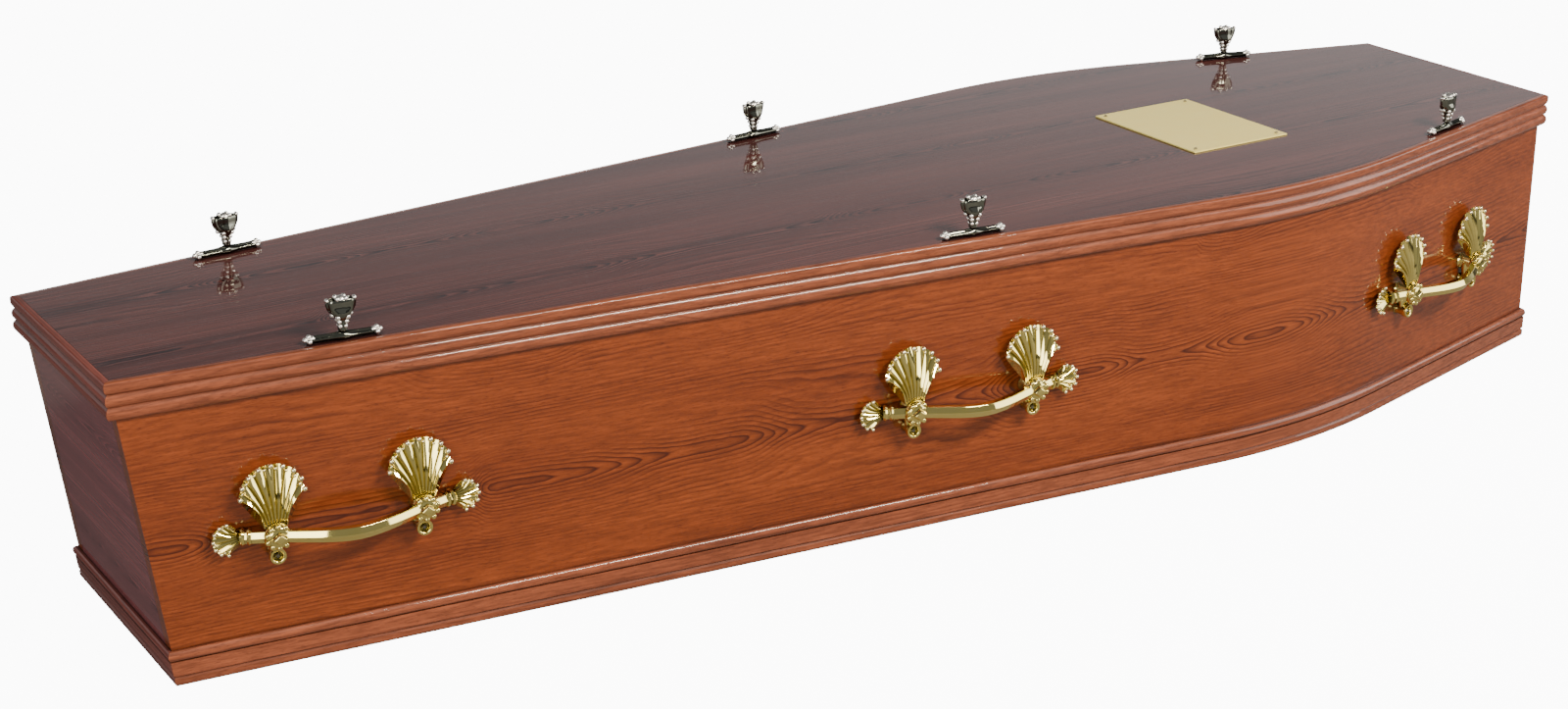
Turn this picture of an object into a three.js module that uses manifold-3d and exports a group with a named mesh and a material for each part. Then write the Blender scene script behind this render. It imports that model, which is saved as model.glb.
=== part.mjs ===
// A veneered wooden coffin with a lift-off lid, six cast handles, six lid screws and a nameplate.
// Millimetres. +X runs from the foot to the head, +Z is up, and the left side is at -Y.
// The origin is on the floor, under the middle of the length and width.
import * as THREE from 'three';
import { mergeVertices } from 'three/addons/utils/BufferGeometryUtils.js';
import Module from 'manifold-3d';

const wasm = await Module();
wasm.setup();

// Clearance between pieces that touch
const fitGap = 0.3;

// Plan of the body, over the outer faces of its boards, level with the lid
const bodyLength = 1880;
const footWidth = 282;
const shoulderWidth = 570;
const headWidth = 317;
const shoulderFromHead = 482;
const shoulderBendRadius = 770;
const bendSteps = 6;

// Boards
const bodyDepth = 311;
const footLeanDegrees = 6.9;
const sideThickness = 16;
const endThickness = 16;
const baseThickness = 18;
const lidThickness = 18;

// Lid moulding: three reeds, the top one with a rounded edge, that wrap the lid and the top of the sides
const lidMouldingHeight = 39;
const lidMouldingProjection = 8;
const lidReedCount = 3;
const lidReedDepth = 3;
const lidTopRound = 3;
const roundSteps = 3;
const reedSteps = 4;

// Base moulding: a bead on top, a flat band and a narrow bottom band with a rounded lower edge
const baseMouldingHeight = 38;
const baseMouldingProjection = 6;
const baseBeadHeight = 11;
const baseBandHeight = 17;
const baseGrooveDepth = 1.8;
const baseBandRecess = 1.2;
const baseEdgeRound = 3;

// Handles
const handleHeight = 148;
const footHandleFromFoot = 218;
const middleHandleFromFoot = 929;
const headHandleFromHead = 245;
const handleLength = 275;
const bossSpacing = 151;
const collarSpacing = 214;
const barDiameter = 14.5;
const barSides = 6;
const barSteps = 8;
const barOutAtCollar = 8;
const barOutAtBoss = 20;
const barOutAtMiddle = 42;
const barSagAtMiddle = 2.5;
const bossRadius = 15;
const bossFaceRadius = 8;
const bossBack = 17;
const bossFront = 32;
const stemRadius = 7;
const stemFootRadius = 10;
const lugRadius = 8.5;
const lugDrop = 23.5;
const lugWebThickness = 14;
const lugWebDepth = 11;
const lugFront = 18;
const screwRecessRadius = 5;
const screwRecessDepth = 5;
const screwHeadRadius = 4;
const screwHeadHeight = 3;
const screwHeadSides = 5;
const castingSides = 6;

// Shell that stands on each boss
const shellWidth = 66;
const shellTop = 73;
const shellWidestHeight = 41;
const shellNeckWidth = 24;
const shellNeckHeight = 9;
const shellFlareHeight = 23;
const shellRibs = 9;
const shellRows = 2;
const shellSpreadDegrees = 100;
const shellNeckOut = 19;
const shellRimOut = 11;
const shellRibDepth = 3;
const shellBackDepth = 6;

// Small shell at each end of the bar
const endShellWidth = 33;
const endShellWidestFromTip = 15;
const endShellRibs = 7;
const endShellRows = 2;
const endShellSpreadDegrees = 105;
const endShellNeckWidth = 9;
const endShellRimOut = 8;
const endShellRibDepth = 2;
const endShellBackDepth = 5;

// Lid screws: a bar lying on the lid and a tulip-shaped knob standing on it
const lidScrewFromFoot = 230;
const middleLidScrewFromFoot = 937;
const lidScrewFromHead = 222;
const screwBarLength = 81;
const screwBarRadius = 3.6;
const screwBarBallRadius = 5.8;
const screwBarHubRadius = 5.4;
const screwBarHubLength = 12;
const screwBarSides = 6;
const knobHeight = 36;
const knobWidth = 31.5;
const knobDepth = 15;
const knobFootRadius = 4.8;
const knobWaistRadius = 5.4;
const knobWaistHeight = 6;
const knobCollarRadius = 8.4;
const knobCollarHeight = 14;
const knobFlareRadius = 13.2;
const knobFlareHeight = 20;
const knobWidestHeight = 27;
const knobRimRadius = 14.4;
const knobRimHeight = 32.5;
const knobSides = 8;

// Nameplate
const plateLength = 146;
const plateWidth = 190;
const plateThickness = 1.5;
const plateFromHead = 397;
const plateTowardsLeft = 25;
const platePinInset = 9;
const platePinRadius = 2.6;
const platePinHeight = 1.8;
const platePinSides = 5;

// Levels and ends that follow from the sizes above
const footLean = Math.tan(THREE.MathUtils.degToRad(footLeanDegrees));
const footX = -bodyLength / 2;
const headX = bodyLength / 2;
const lidUnderside = bodyDepth + fitGap;
const lidTop = lidUnderside + lidThickness;
const footBoardRun = endThickness / Math.cos(Math.atan(footLean));

// The outer face of the leaning foot board at a height above the floor
function footFaceX(height) {
  return footX + (bodyDepth - height) * footLean;
}

// Plan lines of the right side: a straight run from the foot, the bend, and a straight run to the head
const footCorner = new THREE.Vector2(footX, footWidth / 2);
const shoulderCorner = new THREE.Vector2(headX - shoulderFromHead, shoulderWidth / 2);
const headCorner = new THREE.Vector2(headX, headWidth / 2);

function straightRun(from, to) {
  const along = to.clone().sub(from).normalize();
  return { from, along, outward: new THREE.Vector2(-along.y, along.x) };
}

const footRun = straightRun(footCorner, shoulderCorner);
const headRun = straightRun(shoulderCorner, headCorner);
const footRunAngle = footRun.outward.angle();
const bendAngle = headRun.outward.angle() - footRunAngle;
const bendCentre = footRun.outward.clone().add(headRun.outward).normalize()
  .multiplyScalar(-shoulderBendRadius / Math.cos(bendAngle / 2))
  .add(shoulderCorner);
const runSteps = bendSteps + 2;

// The y of a straight run's line, moved outward, at a given x
function runWidthAt(run, outward, x) {
  const start = run.from.clone().addScaledVector(run.outward, outward);
  return start.y + (x - start.x) * run.along.y / run.along.x;
}

// A point of the side's plan: station 0 is the foot corner, the last one is the head corner
function sidePoint(station, outward, footEndX, headEndX) {
  if (station === 0) {
    return new THREE.Vector2(footEndX, runWidthAt(footRun, outward, footEndX));
  }
  if (station === runSteps) {
    return new THREE.Vector2(headEndX, runWidthAt(headRun, outward, headEndX));
  }
  const angle = footRunAngle + bendAngle * (station - 1) / bendSteps;
  const radius = shoulderBendRadius + outward;
  return new THREE.Vector2(Math.cos(angle), Math.sin(angle)).multiplyScalar(radius).add(bendCentre);
}

// Geometry helpers
function withoutSeams(geometry) {
  const bare = geometry.clone();
  bare.deleteAttribute('normal');
  bare.deleteAttribute('uv');
  return mergeVertices(bare, 1e-4);
}

function signedVolume(geometry) {
  const position = geometry.attributes.position;
  const index = geometry.index;
  const [a, b, c] = [new THREE.Vector3(), new THREE.Vector3(), new THREE.Vector3()];
  let volume = 0;
  for (let i = 0; i < index.count; i += 3) {
    a.fromBufferAttribute(position, index.getX(i));
    b.fromBufferAttribute(position, index.getX(i + 1));
    c.fromBufferAttribute(position, index.getX(i + 2));
    volume += a.dot(b.cross(c)) / 6;
  }
  return volume;
}

// Merges seams and turns the faces outward if a mirroring has turned them in
function closedSolid(geometry) {
  const solid = withoutSeams(geometry);
  if (signedVolume(solid) < 0) {
    solid.index.array.reverse();
  }
  solid.computeVertexNormals();
  return solid;
}

// Moves every vertex of a geometry to where the function sends it
function reshaped(geometry, move) {
  const position = geometry.attributes.position;
  const point = new THREE.Vector3();
  for (let i = 0; i < position.count; i += 1) {
    point.fromBufferAttribute(position, i);
    const moved = move(point.x, point.y, point.z);
    position.setXYZ(i, moved.x, moved.y, moved.z);
  }
  return closedSolid(geometry);
}

function toManifold(geometry) {
  const solid = closedSolid(geometry);
  return new wasm.Manifold(new wasm.Mesh({
    numProp: 3,
    vertProperties: new Float32Array(solid.attributes.position.array),
    triVerts: new Uint32Array(solid.index.array),
  }));
}

function fromManifold(manifold) {
  const mesh = manifold.getMesh();
  const geometry = new THREE.BufferGeometry();
  geometry.setAttribute('position', new THREE.BufferAttribute(mesh.vertProperties, 3));
  geometry.setIndex(new THREE.BufferAttribute(mesh.triVerts, 1));
  return closedSolid(geometry);
}

function joined(geometries) {
  return geometries.map(toManifold).reduce((whole, next) => whole.add(next));
}

// How far a round reed stands out at a share of its height
function arcSwell(share, reedHeight, depth) {
  const radius = (reedHeight * reedHeight / 4 + depth * depth) / (2 * depth);
  const fromMiddle = (share - 0.5) * reedHeight;
  return Math.sqrt(radius * radius - fromMiddle * fromMiddle) - radius + depth;
}

// Cross-sections of the mouldings: x is outward from the board's face, y is the height above the floor
function lidMouldingSection() {
  const section = new THREE.Shape();
  const bottom = lidTop - lidMouldingHeight;
  const reedHeight = lidMouldingHeight / lidReedCount;
  const waist = lidMouldingProjection - lidReedDepth;
  section.moveTo(fitGap, bottom);
  section.lineTo(waist, bottom);
  for (let reed = 0; reed < lidReedCount; reed += 1) {
    const reedBottom = bottom + reed * reedHeight;
    const lastStep = reed === lidReedCount - 1 ? reedSteps / 2 : reedSteps;
    for (let step = 1; step <= lastStep; step += 1) {
      const share = step / reedSteps;
      const swell = arcSwell(share, reedHeight, lidReedDepth);
      section.lineTo(waist + swell, reedBottom + reedHeight * share);
    }
  }
  for (let step = 0; step <= roundSteps; step += 1) {
    const angle = Math.PI / 2 * step / roundSteps;
    section.lineTo(
      lidMouldingProjection - lidTopRound * (1 - Math.cos(angle)),
      lidTop - lidTopRound * (1 - Math.sin(angle)),
    );
  }
  section.lineTo(fitGap, lidTop);
  return section;
}

function baseMouldingSection() {
  const section = new THREE.Shape();
  const beadBottom = baseMouldingHeight - baseBeadHeight;
  const bandBottom = beadBottom - baseBandHeight;
  const band = baseMouldingProjection - baseBandRecess;
  const groove = band - baseGrooveDepth;
  const beadWaist = baseMouldingProjection - baseBeadHeight / 4;
  section.moveTo(fitGap, 0);
  for (let step = 0; step <= roundSteps; step += 1) {
    const angle = Math.PI / 2 * step / roundSteps;
    section.lineTo(band - baseEdgeRound * (1 - Math.sin(angle)), baseEdgeRound * (1 - Math.cos(angle)));
  }
  section.lineTo(band, bandBottom - baseGrooveDepth);
  section.lineTo(groove, bandBottom);
  section.lineTo(band, bandBottom + baseGrooveDepth);
  section.lineTo(band, beadBottom);
  section.lineTo(groove, beadBottom);
  for (let step = 1; step <= reedSteps; step += 1) {
    const share = step / reedSteps;
    const swell = arcSwell(share, baseBeadHeight, baseMouldingProjection - beadWaist);
    section.lineTo(beadWaist + swell, beadBottom + baseBeadHeight * share);
  }
  section.lineTo(fitGap, baseMouldingHeight);
  return section;
}

function boardSection() {
  const section = new THREE.Shape();
  section.moveTo(-sideThickness, 0);
  section.lineTo(0, 0);
  section.lineTo(0, bodyDepth);
  section.lineTo(-sideThickness, bodyDepth);
  return section;
}

// Runs a cross-section along one side: left is -1 and right is +1.
// footEnd and headEnd give the x at which each point of the cross-section stops.
function alongSide(section, side, footEnd, headEnd) {
  const run = new THREE.ExtrudeGeometry(section, { depth: 1, steps: runSteps, bevelEnabled: false });
  return reshaped(run, (outward, height, share) => {
    const station = Math.round(share * runSteps);
    const point = sidePoint(station, outward, footEnd(outward, height), headEnd(outward));
    return new THREE.Vector3(point.x, side * point.y, height);
  });
}

// Runs a cross-section across one end, mitred to the side runs
function acrossEnd(section, run, endX) {
  const across = new THREE.ExtrudeGeometry(section, { depth: 2, steps: 1, bevelEnabled: false });
  return reshaped(across, (outward, height, share) => {
    const x = endX(outward, height);
    const halfWidth = runWidthAt(run, outward, x) - mitreGap(run);
    return new THREE.Vector3(x, (share - 1) * halfWidth, height);
  });
}

// Sideways gap that leaves the fit clearance between the two faces of a mitre
function mitreGap(run) {
  return fitGap * Math.SQRT2 / run.along.x;
}

// The ends of the mouldings: the lid's are upright and the base's follow the leaning foot board
const lidFootEnd = (outward) => footX - outward;
const baseFootEnd = (outward, height) => footFaceX(height) - outward;
const mouldingHeadEnd = (outward) => headX + outward;

// A flat board whose edge follows the plan, between two levels
function planBoard(outward, footEndAt, headEndX, bottom, top) {
  const outline = [];
  for (let station = 0; station <= runSteps; station += 1) {
    outline.push(sidePoint(station, outward, footEndAt(bottom), headEndX));
  }
  const mirrored = outline.map((point) => new THREE.Vector2(point.x, -point.y)).reverse();
  const shape = new THREE.Shape([...mirrored, ...outline]);
  const board = new THREE.ExtrudeGeometry(shape, { depth: top - bottom, bevelEnabled: false });
  return reshaped(board, (x, y, rise) => {
    const height = bottom + rise;
    if (x > footEndAt(bottom) + fitGap) {
      return new THREE.Vector3(x, y, height);
    }
    const endX = footEndAt(height);
    return new THREE.Vector3(endX, Math.sign(y) * runWidthAt(footRun, outward, endX), height);
  });
}

// An end board that fits between the side boards
function endBoard(run, faceX, depthIntoBody) {
  const unit = new THREE.BoxGeometry(1, 1, 1);
  return reshaped(unit, (thickness, side, rise) => {
    const height = (rise + 0.5) * bodyDepth;
    const x = faceX(height) + (thickness + 0.5) * depthIntoBody;
    const halfWidth = runWidthAt(run, -sideThickness - fitGap, x);
    return new THREE.Vector3(x, Math.sign(side) * halfWidth, height);
  });
}

// A flat sheet with its edge joined to one point behind it, which closes it into a body
function backedSheet(columns, rows) {
  const sheet = new THREE.PlaneGeometry(2, 1, columns, rows);
  const rowLength = columns + 1;
  const behind = rowLength * (rows + 1);
  const edge = [];
  for (let i = 0; i < columns; i += 1) {
    edge.push(rows * rowLength + i);
  }
  for (let row = rows; row > 0; row -= 1) {
    edge.push(row * rowLength + columns);
  }
  for (let i = columns; i > 0; i -= 1) {
    edge.push(i);
  }
  for (let row = 0; row < rows; row += 1) {
    edge.push(row * rowLength);
  }
  const back = edge.flatMap((corner, i) => [edge[(i + 1) % edge.length], corner, behind]);
  const body = new THREE.BufferGeometry();
  body.setAttribute('position', new THREE.Float32BufferAttribute(
    [...sheet.attributes.position.array, 0, 0, -1],
    3,
  ));
  body.setIndex([...sheet.index.array, ...back]);
  return body;
}

// A ribbed shell in its own frame: x across, y along from neck to rim, z outward.
// Ribs leave the neck side by side and flare to a scalloped rim.
function ribbedShell(form) {
  const columns = form.ribs * 2;
  const sheet = backedSheet(columns, form.rows);
  const spread = THREE.MathUtils.degToRad(form.spreadDegrees);
  const rimHeight = form.top - form.widest;
  return reshaped(sheet, (across, along, layer) => {
    const t = along + 0.5;
    const onRib = layer < 0 ? 0.5 : Math.round((across + 1) / 2 * columns) % 2;
    const lobe = 1 + form.ribDepth * (onRib - 1) / form.width;
    const neck = new THREE.Vector2(across * form.neckWidth / 2, form.neckY);
    const bend = new THREE.Vector2(across * form.neckWidth * 0.6, form.neckY + form.flare);
    const rim = new THREE.Vector2(
      lobe * Math.sin(across * spread) * form.width / 2,
      form.widest + lobe * Math.cos(across * spread) * rimHeight,
    );
    const spot = neck.multiplyScalar((1 - t) ** 2)
      .addScaledVector(bend, 2 * t * (1 - t))
      .addScaledVector(rim, t * t);
    const ripple = form.ribDepth * (onRib - 0.5) * t;
    const surface = THREE.MathUtils.lerp(form.neckOut, form.rimOut, t) + ripple;
    return new THREE.Vector3(spot.x, spot.y, surface + layer * form.backDepth);
  });
}

// A faceted casting turned about an outward axis, from its radius at each distance from the wall
function turnedOutward(stages, sides, x, z) {
  const profile = stages.map(([radius, out]) => new THREE.Vector2(radius, out));
  const turned = new THREE.LatheGeometry(profile, sides);
  turned.rotateX(Math.PI);
  turned.translate(x, 0, z);
  return turned;
}

// One handle in its own frame: x along the side, z up, and the wall's face at y = 0 with -y outward
function handleSolid() {
  const half = bossSpacing / 2;
  const collar = collarSpacing / 2;
  const path = new THREE.CatmullRomCurve3([
    new THREE.Vector3(-collar, -barOutAtCollar, 0),
    new THREE.Vector3(-half, -barOutAtBoss, 0),
    new THREE.Vector3(0, -barOutAtMiddle, -barSagAtMiddle),
    new THREE.Vector3(half, -barOutAtBoss, 0),
    new THREE.Vector3(collar, -barOutAtCollar, 0),
  ]);
  const round = new THREE.Shape();
  for (let corner = 0; corner < barSides; corner += 1) {
    const angle = 2 * Math.PI * (corner + 0.5) / barSides;
    const spot = [Math.cos(angle) * barDiameter / 2, Math.sin(angle) * barDiameter / 2];
    if (corner === 0) {
      round.moveTo(...spot);
    } else {
      round.lineTo(...spot);
    }
  }
  const bar = new THREE.ExtrudeGeometry(round, { steps: barSteps, extrudePath: path });
  const bossStages = [
    [0, fitGap],
    [stemFootRadius, fitGap],
    [stemRadius, bossBack],
    [bossRadius, bossBack],
    [bossFaceRadius, bossFront],
    [0, bossFront],
  ];
  const lugStages = [
    [0, fitGap],
    [stemRadius, fitGap],
    [lugRadius, lugFront],
    [screwRecessRadius, lugFront],
    [screwRecessRadius, lugFront - screwRecessDepth],
    [0, lugFront - screwRecessDepth],
  ];
  const web = new THREE.BoxGeometry(lugWebThickness, lugWebDepth, lugDrop);
  const pieces = [bar];
  for (const end of [-1, 1]) {
    const x = end * half;
    const shell = ribbedShell({
      width: shellWidth,
      top: shellTop,
      widest: shellWidestHeight,
      neckWidth: shellNeckWidth,
      neckY: shellNeckHeight,
      flare: shellFlareHeight,
      ribs: shellRibs,
      rows: shellRows,
      spreadDegrees: shellSpreadDegrees,
      neckOut: shellNeckOut,
      rimOut: shellRimOut,
      ribDepth: shellRibDepth,
      backDepth: shellBackDepth,
    });
    shell.rotateX(Math.PI / 2);
    shell.translate(x, 0, 0);
    const endReach = handleLength / 2 - collar;
    const endShell = ribbedShell({
      width: endShellWidth,
      top: endReach,
      widest: endReach - endShellWidestFromTip,
      neckWidth: endShellNeckWidth,
      neckY: -barDiameter / 4,
      flare: endReach / 2,
      ribs: endShellRibs,
      rows: endShellRows,
      spreadDegrees: endShellSpreadDegrees,
      neckOut: barOutAtCollar,
      rimOut: endShellRimOut,
      ribDepth: endShellRibDepth,
      backDepth: endShellBackDepth,
    });
    endShell.rotateX(Math.PI / 2);
    endShell.rotateY(end * Math.PI / 2);
    endShell.translate(end * collar, 0, 0);
    pieces.push(
      shell,
      endShell,
      turnedOutward(bossStages, castingSides, x, 0),
      turnedOutward(lugStages, castingSides, x, -lugDrop),
      web.clone().translate(x, -fitGap - lugWebDepth / 2, -lugDrop / 2),
    );
  }
  return fromManifold(joined(pieces));
}

// The screw that holds a lug, its head sunk in the lug's recess
function handleScrewSolid() {
  const back = lugFront - screwRecessDepth + fitGap;
  const stages = [
    [0, back],
    [screwHeadRadius, back],
    [screwHeadRadius / 2, back + screwHeadHeight],
    [0, back + screwHeadHeight],
  ];
  return closedSolid(turnedOutward(stages, screwHeadSides, 0, -lugDrop));
}

// The bar of a lid screw: a turned rod lying on the lid, with a ball at each end and a hub
function screwBarSolid() {
  const half = screwBarLength / 2;
  const ballCentre = half - screwBarBallRadius;
  const hub = screwBarHubLength / 2;
  const rightHalf = [
    [screwBarHubRadius, 0],
    [screwBarHubRadius, hub],
    [screwBarRadius, hub + screwBarRadius],
    [screwBarRadius, ballCentre - screwBarBallRadius],
    [screwBarBallRadius, ballCentre],
    [0, half],
  ];
  const leftHalf = rightHalf.slice(1).reverse().map(([radius, x]) => [radius, -x]);
  const profile = [...leftHalf, ...rightHalf.slice(1)].map(([radius, x]) => new THREE.Vector2(radius, x));
  const bar = new THREE.LatheGeometry(profile, screwBarSides, Math.PI / screwBarSides);
  bar.rotateZ(-Math.PI / 2);
  return reshaped(bar, (x, y, z) => new THREE.Vector3(x, y, Math.max(z, -screwBarRadius)));
}

// The knob of a lid screw: a waisted stem, a collar, and a flattened tulip with a low dome
function knobSolid() {
  const profile = [
    [0, 0],
    [knobFootRadius, 0],
    [knobWaistRadius, knobWaistHeight],
    [knobCollarRadius, knobCollarHeight],
    [knobFlareRadius, knobFlareHeight],
    [knobWidth / 2, knobWidestHeight],
    [knobRimRadius, knobRimHeight],
    [0, knobHeight],
  ].map(([radius, height]) => new THREE.Vector2(radius, height));
  const turned = new THREE.LatheGeometry(profile, knobSides);
  turned.rotateX(Math.PI / 2);
  return reshaped(turned, (x, y, z) => {
    const flattened = THREE.MathUtils.smoothstep(z, knobCollarHeight, knobWidestHeight);
    const depthShare = THREE.MathUtils.lerp(1, knobDepth / knobWidth, flattened);
    return new THREE.Vector3(x, y * depthShare, z);
  });
}

// Materials
function woodMaterial(colour) {
  return new THREE.MeshStandardMaterial({ color: colour, roughness: 0.3, metalness: 0 });
}

function metalMaterial(colour) {
  return new THREE.MeshStandardMaterial({ color: colour, roughness: 0.2, metalness: 1 });
}

const sideColour = 0x8a3f16;
const lidColour = 0x6a4340;
const mouldingColour = 0xa85a3a;
const insideColour = 0xb9926a;
const brassColour = 0xd9c978;
const nickelColour = 0xc9c3b8;
const plateColour = 0xc9b66a;

function piece(name, geometry, material) {
  const mesh = new THREE.Mesh(geometry, material);
  mesh.name = name;
  return mesh;
}

const coffin = new THREE.Group();
const sides = [{ word: 'left', sign: -1 }, { word: 'right', sign: 1 }];

// Boards of the body
function addBody() {
  coffin.add(piece('base_board', planBoard(
    -sideThickness - fitGap,
    (height) => footFaceX(height) + footBoardRun + fitGap,
    headX - endThickness - fitGap,
    0,
    baseThickness,
  ), woodMaterial(insideColour)));
  for (const { word, sign } of sides) {
    const board = alongSide(boardSection(), sign, (outward, height) => footFaceX(height), () => headX);
    coffin.add(piece(`side_board_${word}`, board, woodMaterial(sideColour)));
  }
  coffin.add(piece('foot_end_board', endBoard(footRun, footFaceX, footBoardRun), woodMaterial(sideColour)));
  const headBoard = endBoard(headRun, () => headX - endThickness, endThickness);
  coffin.add(piece('head_end_board', headBoard, woodMaterial(sideColour)));
}

// One set of four mouldings around the body or the lid
function addMouldings(prefix, section, footEnd) {
  for (const { word, sign } of sides) {
    const run = alongSide(section, sign, footEnd, mouldingHeadEnd);
    coffin.add(piece(`${prefix}_moulding_${word}`, run, woodMaterial(mouldingColour)));
  }
  const foot = acrossEnd(section, footRun, footEnd);
  const head = acrossEnd(section, headRun, mouldingHeadEnd);
  coffin.add(piece(`${prefix}_moulding_foot`, foot, woodMaterial(mouldingColour)));
  coffin.add(piece(`${prefix}_moulding_head`, head, woodMaterial(mouldingColour)));
}

function addLid() {
  const board = planBoard(0, () => footX, headX, lidUnderside, lidTop);
  coffin.add(piece('lid_board', board, woodMaterial(lidColour)));
}

// Where a fitting sits on a side, measured along the board from the foot or back from the head
function sidePlaces(fromFoot, middleFromFoot, fromHead, outward) {
  const headStart = { from: headCorner, along: headRun.along, outward: headRun.outward };
  return [
    { word: 'foot', run: footRun, distance: fromFoot },
    { word: 'middle', run: footRun, distance: middleFromFoot },
    { word: 'head', run: headStart, distance: -fromHead },
  ].map(({ word, run, distance }) => {
    const spot = run.from.clone()
      .addScaledVector(run.along, distance)
      .addScaledVector(run.outward, outward);
    return { word, spot, turn: run.along.angle() };
  });
}

// A group on the left or right side, turned so that its -y points outward
function sideGroup(spot, turn, sign, height) {
  const group = new THREE.Group();
  group.position.set(spot.x, sign * spot.y, height);
  group.rotation.z = sign > 0 ? turn + Math.PI : -turn;
  return group;
}

function addHandles() {
  const handle = handleSolid();
  const screw = handleScrewSolid();
  const places = sidePlaces(footHandleFromFoot, middleHandleFromFoot, headHandleFromHead, 0);
  for (const { word: sideWord, sign } of sides) {
    for (const { word, spot, turn } of places) {
      const group = sideGroup(spot, turn, sign, handleHeight);
      group.add(piece(`handle_${sideWord}_${word}`, handle.clone(), metalMaterial(brassColour)));
      for (const end of [-1, 1]) {
        const name = `handle_screw_${sideWord}_${word}_${end * sign < 0 ? 'a' : 'b'}`;
        const head = piece(name, screw.clone(), metalMaterial(nickelColour));
        head.position.x = end * bossSpacing / 2;
        group.add(head);
      }
      coffin.add(group);
    }
  }
}

function addLidScrews() {
  const bar = screwBarSolid();
  const knob = knobSolid();
  const places = sidePlaces(lidScrewFromFoot, middleLidScrewFromFoot, lidScrewFromHead, -sideThickness / 2);
  for (const { word: sideWord, sign } of sides) {
    for (const { word, spot, turn } of places) {
      const group = sideGroup(spot, turn, sign, lidTop + fitGap);
      const lying = piece(`lid_screw_bar_${sideWord}_${word}`, bar.clone(), metalMaterial(nickelColour));
      lying.position.z = screwBarRadius;
      const knobName = `lid_screw_knob_${sideWord}_${word}`;
      const standing = piece(knobName, knob.clone(), metalMaterial(nickelColour));
      standing.position.z = screwBarRadius + screwBarHubRadius + fitGap;
      group.add(lying, standing);
      coffin.add(group);
    }
  }
}

function addNameplate() {
  const group = new THREE.Group();
  group.position.set(headX - plateFromHead - plateLength / 2, -plateTowardsLeft, lidTop + fitGap);
  const plate = piece(
    'nameplate',
    closedSolid(new THREE.BoxGeometry(plateLength, plateWidth, plateThickness)),
    metalMaterial(plateColour),
  );
  plate.position.z = plateThickness / 2;
  group.add(plate);
  const pin = new THREE.CylinderGeometry(platePinRadius / 2, platePinRadius, platePinHeight, platePinSides);
  pin.rotateX(Math.PI / 2);
  for (const { word, sign } of sides) {
    for (const [endWord, end] of [['foot', -1], ['head', 1]]) {
      const head = piece(`nameplate_pin_${word}_${endWord}`, closedSolid(pin), metalMaterial(plateColour));
      head.position.set(
        end * (plateLength / 2 - platePinInset),
        sign * (plateWidth / 2 - platePinInset),
        plateThickness + fitGap + platePinHeight / 2,
      );
      group.add(head);
    }
  }
  coffin.add(group);
}

addBody();
addMouldings('base', baseMouldingSection(), baseFootEnd);
addLid();
addMouldings('lid', lidMouldingSection(), lidFootEnd);
addHandles();
addLidScrews();
addNameplate();

export default coffin;
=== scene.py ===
# %% [markdown]
# # A shouldered coffin, in cells
# The CAD solids come in first. Each later cell adds one kind of piece or one finish, and most print what they
# made.
# Lengths are in metres. +X runs from the foot to the head, the left side is at -Y, and z is 0 on the floor.

# %% Load the imported solids
import math
import bmesh
import bpy
from mathutils import Matrix, Vector


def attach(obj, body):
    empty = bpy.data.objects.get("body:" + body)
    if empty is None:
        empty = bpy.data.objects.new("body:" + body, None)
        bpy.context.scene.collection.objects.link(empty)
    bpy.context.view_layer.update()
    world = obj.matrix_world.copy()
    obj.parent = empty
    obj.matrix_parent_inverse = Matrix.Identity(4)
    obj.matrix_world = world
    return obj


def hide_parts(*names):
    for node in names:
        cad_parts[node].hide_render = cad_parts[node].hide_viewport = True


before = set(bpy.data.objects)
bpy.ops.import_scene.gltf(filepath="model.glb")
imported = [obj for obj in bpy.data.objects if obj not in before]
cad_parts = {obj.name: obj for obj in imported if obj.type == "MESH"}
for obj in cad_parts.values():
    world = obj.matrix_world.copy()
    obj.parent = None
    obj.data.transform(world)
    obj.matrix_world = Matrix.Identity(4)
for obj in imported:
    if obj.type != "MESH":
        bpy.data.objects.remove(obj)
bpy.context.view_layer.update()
print("nodes in the frame:", len(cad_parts))

# %% [markdown]
# Pieces are made with bmesh and kept at the origin, so that the place of each one is in its mesh.
# A lattice is a grid of faces whose corners a function puts in place. It suits swept and folded forms.
# A turned form is a profile spun about an axis. Several forms can go together into one piece.
# A bead carries a mark that its metal reads, so that it can have a finish of its own: a rougher satin, and a
# paler colour that is a painted highlight.

# %% Helpers for new pieces
WELD = 1e-6


def lattice(columns, rows, place):
    form = bmesh.new()
    bmesh.ops.create_grid(form, x_segments=columns, y_segments=rows, size=0.5)
    for vert in form.verts:
        vert.co = place(vert.co.x + 0.5, vert.co.y + 0.5)
    bmesh.ops.remove_doubles(form, verts=form.verts, dist=WELD)
    bmesh.ops.holes_fill(form, edges=[e for e in form.edges if e.is_boundary], sides=0)
    bmesh.ops.recalc_face_normals(form, faces=form.faces)
    return form


def turned(profile, steps):
    form = bmesh.new()
    verts = [form.verts.new((radius, 0, height)) for radius, height in profile]
    edges = [form.edges.new(pair) for pair in zip(verts, verts[1:])]
    bmesh.ops.spin(form, geom=verts + edges, cent=(0, 0, 0), axis=(0, 0, 1),
                   angle=math.tau, steps=steps, use_merge=True)
    bmesh.ops.remove_doubles(form, verts=form.verts, dist=WELD)
    bmesh.ops.recalc_face_normals(form, faces=form.faces)
    return form


def bead(centre, radius, stretch=(1, 1, 1), satin=1.0):
    form = bmesh.new()
    bmesh.ops.create_icosphere(form, subdivisions=2, radius=radius)
    bmesh.ops.scale(form, vec=stretch, verts=form.verts)
    bmesh.ops.translate(form, vec=centre, verts=form.verts)
    mark = form.verts.layers.float.new("bead")
    for vert in form.verts:
        vert[mark] = satin
    return form


def placed(form, matrix):
    bmesh.ops.transform(form, matrix=matrix, verts=form.verts)
    return form


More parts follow.
